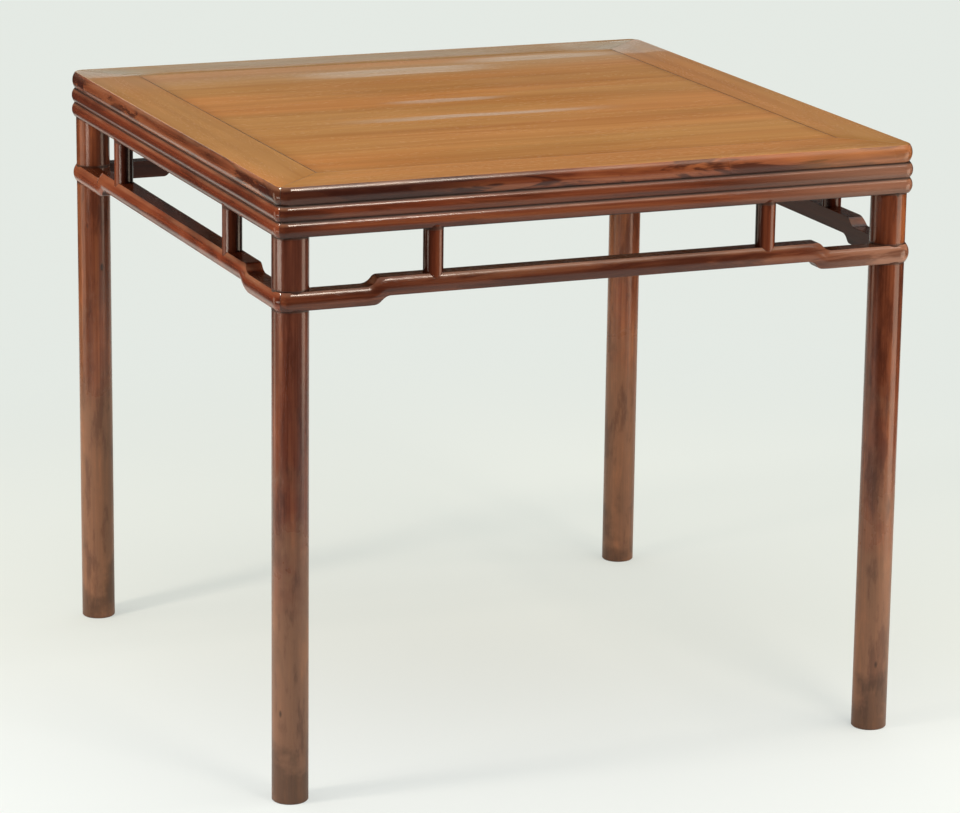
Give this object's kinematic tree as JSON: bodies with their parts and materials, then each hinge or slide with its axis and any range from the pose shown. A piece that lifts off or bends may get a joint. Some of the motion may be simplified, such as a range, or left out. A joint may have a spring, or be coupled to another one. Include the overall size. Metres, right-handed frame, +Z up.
{
  "type": "eight immortals table",
  "caption": "Square wooden table with round legs, double-bead edge rails, wrap-around humpback stretchers and short round struts under a framed panel top.",
  "frame": {"origin": "on the floor under the centre of the table", "axes": "+Z up, -Y towards the front, +X to the right seen from the front; the front is a long frame member, whose through tenons show on the left and right edges"},
  "size_m": [0.92, 0.92, 0.835],
  "materials": {
    "panel_front_board": "polished golden brown rosewood",
    "panel_rear_board": "polished golden brown rosewood",
    "top_frame_long": "polished brown rosewood",
    "top_frame_cross": "polished brown rosewood",
    "edge_rail": "polished dark reddish rosewood",
    "loose_tenon": "unfinished hardwood",
    "stretcher": "polished dark reddish rosewood",
    "strut": "polished dark reddish rosewood",
    "leg_front_left": "polished reddish rosewood, dull at the foot",
    "leg_front_right": "polished reddish rosewood, dull at the foot",
    "leg_rear_left": "polished reddish rosewood, dull at the foot",
    "leg_rear_right": "polished reddish rosewood, dull at the foot",
    "panel_brace": "plain unpolished hardwood"
  },
  "bodies": {
    "root": {"edge_rail_front": "edge_rail", "edge_rail_left": "edge_rail", "edge_rail_loose_tenons": "loose_tenon", "edge_rail_rear": "edge_rail", "edge_rail_right": "edge_rail", "humpback_stretcher_front": "stretcher", "humpback_stretcher_left": "stretcher", "humpback_stretcher_rear": "stretcher", "humpback_stretcher_right": "stretcher", "leg_front_left": "leg_front_left", "leg_front_right": "leg_front_right", "leg_rear_left": "leg_rear_left", "leg_rear_right": "leg_rear_right", "panel_brace_left": "panel_brace", "panel_brace_middle": "panel_brace", "panel_brace_right": "panel_brace", "strut_front_left": "strut", "strut_front_right": "strut", "strut_left_front": "strut", "strut_left_rear": "strut", "strut_rear_left": "strut", "strut_rear_right": "strut", "strut_right_front": "strut", "strut_right_rear": "strut", "top_frame_front": "top_frame_long", "top_frame_left": "top_frame_cross", "top_frame_rear": "top_frame_long", "top_frame_right": "top_frame_cross", "top_panel_front_board": "panel_front_board", "top_panel_rear_board": "panel_rear_board"}
  },
  "joints": []
}
